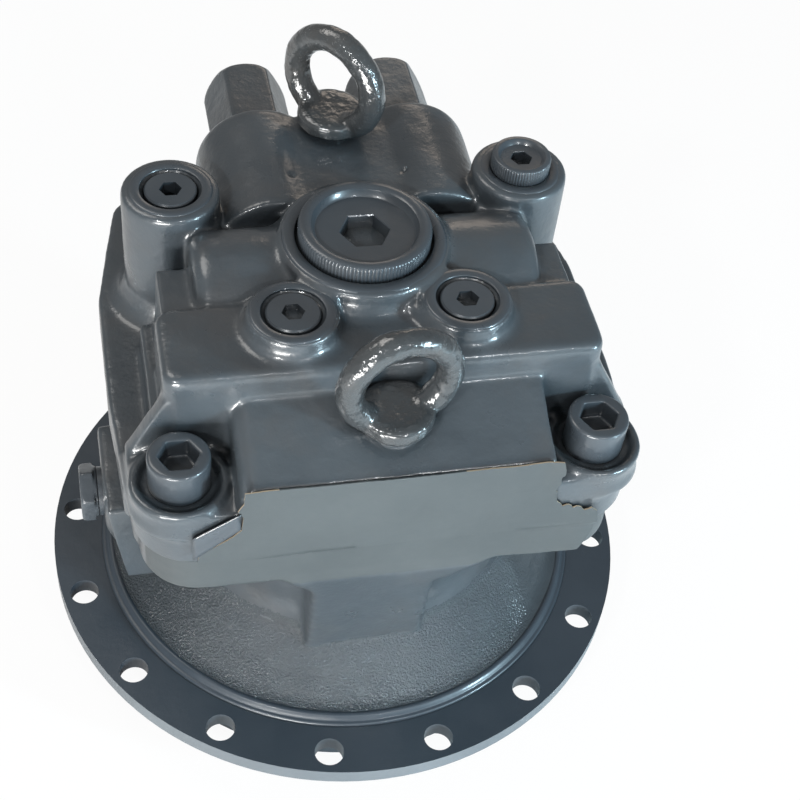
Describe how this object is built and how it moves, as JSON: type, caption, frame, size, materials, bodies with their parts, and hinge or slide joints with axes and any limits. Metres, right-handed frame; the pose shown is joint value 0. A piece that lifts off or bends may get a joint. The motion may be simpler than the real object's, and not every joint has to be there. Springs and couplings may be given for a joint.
{
  "type": "hydraulic swing motor",
  "caption": "Axial piston slewing motor with round bolt flange, cast motor and valve casings, side-by-side ports, relief valves, lifting eyes and parking brake.",
  "frame": {"origin": "centre of the flange's lower mounting face, on the shaft axis", "axes": "+Z along the shaft towards the valve casing, -Y towards the port face, +X to the right seen from the ports"},
  "size_m": [0.3344, 0.3412, 0.3235],
  "materials": {
    "cast_paint": "thick glossy blue-grey paint over a casting",
    "steel_paint": "glossy blue-grey paint over steel",
    "bare_steel": "machined steel",
    "iron": "machined cast iron",
    "bronze": "machined bronze",
    "seal": "black seal rubber"
  },
  "bodies": {
    "housing": {"motor_casing": "cast_paint", "valve_casing": "cast_paint", "casing_bolts_front": "steel_paint", "casing_bolts_rear": "bare_steel", "center_plug": "steel_paint", "center_plug_oring": "seal", "makeup_plug_left": "steel_paint", "makeup_plug_right": "steel_paint", "corner_plug_rear_left": "steel_paint", "corner_plug_rear_right": "steel_paint", "eye_bolt_front": "steel_paint", "eye_bolt_rear": "steel_paint", "relief_valve_left": "steel_paint", "relief_valve_right": "steel_paint", "drain_plug": "steel_paint", "drain_plug_washer": "steel_paint", "casing_oring": "seal", "dowel_pins": "bare_steel", "oil_seal": "seal", "snap_ring": "bare_steel", "main_bearing_outer_ring": "bare_steel", "rear_bearing_outer_ring": "bare_steel", "swash_plate": "bare_steel", "valve_plate": "bare_steel", "separator_plates": "bare_steel", "brake_springs": "bare_steel", "makeup_spring_left": "bare_steel", "makeup_spring_right": "bare_steel"},
    "rotor": {"drive_shaft": "bare_steel", "cylinder_block": "iron", "ball_guide": "bare_steel", "block_spring": "bare_steel", "friction_plates": "bronze", "main_bearing_inner_ring": "bare_steel", "rear_bearing_inner_ring": "bare_steel"},
    "shoe_carrier": {"retainer_plate": "bare_steel", "slipper_shoes": "bronze"},
    "main_roller_set": {"main_bearing_rollers": "bare_steel", "main_bearing_cage": "bare_steel"},
    "rear_roller_set": {"rear_bearing_rollers": "bare_steel", "rear_bearing_cage": "bare_steel"},
    "brake_release": {"brake_piston": "bare_steel", "brake_piston_seals": "seal"},
    "makeup_valve_left": {"makeup_poppet_left": "bare_steel"},
    "makeup_valve_right": {"makeup_poppet_right": "bare_steel"},
    "piston_body_1": {"piston_1": "bare_steel"},
    "piston_body_2": {"piston_2": "bare_steel"},
    "piston_body_3": {"piston_3": "bare_steel"},
    "piston_body_4": {"piston_4": "bare_steel"},
    "piston_body_5": {"piston_5": "bare_steel"},
    "piston_body_6": {"piston_6": "bare_steel"},
    "piston_body_7": {"piston_7": "bare_steel"},
    "piston_body_8": {"piston_8": "bare_steel"},
    "piston_body_9": {"piston_9": "bare_steel"}
  },
  "joints": [
    {"name": "shaft_spin", "type": "hinge", "parent": "housing", "child": "rotor", "pos_m": [0, 0, 0], "axis": [0, 0, 1], "continuous": true},
    {"name": "shoe_orbit", "type": "hinge", "parent": "housing", "child": "shoe_carrier", "pos_m": [0, 0, 0.05978], "axis": [0, 0.2419, 0.9703], "continuous": true},
    {"name": "main_cage_spin", "type": "hinge", "parent": "housing", "child": "main_roller_set", "pos_m": [0, 0, 0.008], "axis": [0, 0, 1], "continuous": true},
    {"name": "rear_cage_spin", "type": "hinge", "parent": "housing", "child": "rear_roller_set", "pos_m": [0, 0, 0.161], "axis": [0, 0, 1], "continuous": true},
    {"name": "brake_release_slide", "type": "slide", "parent": "housing", "child": "brake_release", "axis": [0, 0, 1], "range_m": [0, 0.0025], "stiffness_N_per_m": 50000, "springref_m": -0.004, "deforming": ["brake_springs"]},
    {"name": "makeup_lift_left", "type": "slide", "parent": "housing", "child": "makeup_valve_left", "axis": [0, 0, 1], "range_m": [0, 0.004], "stiffness_N_per_m": 1000, "springref_m": -0.004, "deforming": ["makeup_spring_left"]},
    {"name": "makeup_lift_right", "type": "slide", "parent": "housing", "child": "makeup_valve_right", "axis": [0, 0, 1], "range_m": [0, 0.004], "stiffness_N_per_m": 1000, "springref_m": -0.004, "deforming": ["makeup_spring_right"]},
    {"name": "piston_1_swivel", "type": "hinge", "parent": "shoe_carrier", "child": "piston_body_1", "pos_m": [0.041, 0, 0.05978], "axis": [0, 0.2419, 0.9703], "continuous": true},
    {"name": "piston_2_swivel", "type": "hinge", "parent": "shoe_carrier", "child": "piston_body_2", "pos_m": [0.03141, 0.02557, 0.0534], "axis": [0, 0.2419, 0.9703], "continuous": true},
    {"name": "piston_3_swivel", "type": "hinge", "parent": "shoe_carrier", "child": "piston_body_3", "pos_m": [0.00712, 0.03918, 0.05001], "axis": [0, 0.2419, 0.9703], "continuous": true},
    {"name": "piston_4_swivel", "type": "hinge", "parent": "shoe_carrier", "child": "piston_body_4", "pos_m": [-0.0205, 0.03445, 0.05119], "axis": [0, 0.2419, 0.9703], "continuous": true},
    {"name": "piston_5_swivel", "type": "hinge", "parent": "shoe_carrier", "child": "piston_body_5", "pos_m": [-0.03853, 0.01361, 0.05638], "axis": [0, 0.2419, 0.9703], "continuous": true},
    {"name": "piston_6_swivel", "type": "hinge", "parent": "shoe_carrier", "child": "piston_body_6", "pos_m": [-0.03853, -0.01361, 0.06317], "axis": [0, 0.2419, 0.9703], "continuous": true},
    {"name": "piston_7_swivel", "type": "hinge", "parent": "shoe_carrier", "child": "piston_body_7", "pos_m": [-0.0205, -0.03445, 0.06837], "axis": [0, 0.2419, 0.9703], "continuous": true},
    {"name": "piston_8_swivel", "type": "hinge", "parent": "shoe_carrier", "child": "piston_body_8", "pos_m": [0.00712, -0.03918, 0.06955], "axis": [0, 0.2419, 0.9703], "continuous": true},
    {"name": "piston_9_swivel", "type": "hinge", "parent": "shoe_carrier", "child": "piston_body_9", "pos_m": [0.03141, -0.02557, 0.06615], "axis": [0, 0.2419, 0.9703], "continuous": true}
  ],
  "couplings": [
    {"joint": "shoe_orbit", "follows": "shaft_spin", "ratio": 1},
    {"joint": "piston_1_swivel", "follows": "shaft_spin", "ratio": -1},
    {"joint": "piston_2_swivel", "follows": "shaft_spin", "ratio": -1},
    {"joint": "piston_3_swivel", "follows": "shaft_spin", "ratio": -1},
    {"joint": "piston_4_swivel", "follows": "shaft_spin", "ratio": -1},
    {"joint": "piston_5_swivel", "follows": "shaft_spin", "ratio": -1},
    {"joint": "piston_6_swivel", "follows": "shaft_spin", "ratio": -1},
    {"joint": "piston_7_swivel", "follows": "shaft_spin", "ratio": -1},
    {"joint": "piston_8_swivel", "follows": "shaft_spin", "ratio": -1},
    {"joint": "piston_9_swivel", "follows": "shaft_spin", "ratio": -1},
    {"joint": "main_cage_spin", "follows": "shaft_spin", "ratio": 0.4329},
    {"joint": "rear_cage_spin", "follows": "shaft_spin", "ratio": 0.4297}
  ]
}
